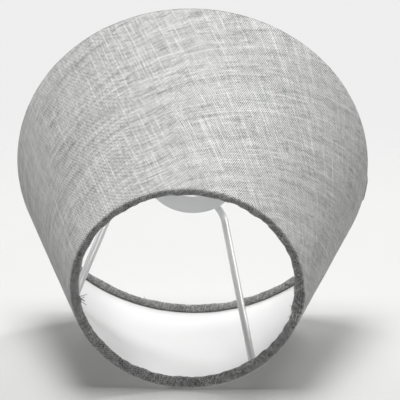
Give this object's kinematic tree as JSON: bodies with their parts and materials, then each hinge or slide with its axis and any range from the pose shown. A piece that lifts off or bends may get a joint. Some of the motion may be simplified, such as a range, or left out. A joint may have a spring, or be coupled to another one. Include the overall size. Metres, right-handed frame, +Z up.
{
  "type": "lamp shade",
  "caption": "Tapered drum lamp shade: woven fabric on a white liner, edges rolled round two wire rings, with a wire spider and fitter disc near the wide end.",
  "frame": {"origin": "on the axis of the shade, at the height of the surface that the wide end stands on", "axes": "+Z up the axis from the wide end to the narrow end; the first arm leaves the disc along +X and meets the top ring 6 degrees from +X, and the lap seam is 167 degrees from +X, both turning towards +Y"},
  "size_m": [0.1998, 0.1998, 0.1388],
  "materials": {
    "linen_weave": "grey slub linen-look weave, matte",
    "liner_plastic": "white translucent liner sheet, satin",
    "adhesive_tape": "thin double-sided tape",
    "ring_wire": "drawn wire",
    "weld_metal": "rough bead",
    "white_enamel": "white powder coat, semi gloss"
  },
  "bodies": {
    "root": {"fabric_cover": "linen_weave", "liner": "liner_plastic", "seam_tape": "adhesive_tape", "base_ring": "ring_wire", "base_ring_weld": "weld_metal", "base_ring_tape": "adhesive_tape", "top_ring": "ring_wire", "top_ring_weld": "weld_metal", "top_ring_tape": "adhesive_tape", "fitter_disc": "white_enamel", "arm_1": "white_enamel", "arm_2": "white_enamel", "arm_3": "white_enamel", "arm_1_ring_weld": "weld_metal", "arm_2_ring_weld": "weld_metal", "arm_3_ring_weld": "weld_metal", "arm_1_disc_weld": "white_enamel", "arm_2_disc_weld": "white_enamel", "arm_3_disc_weld": "white_enamel"}
  },
  "joints": []
}
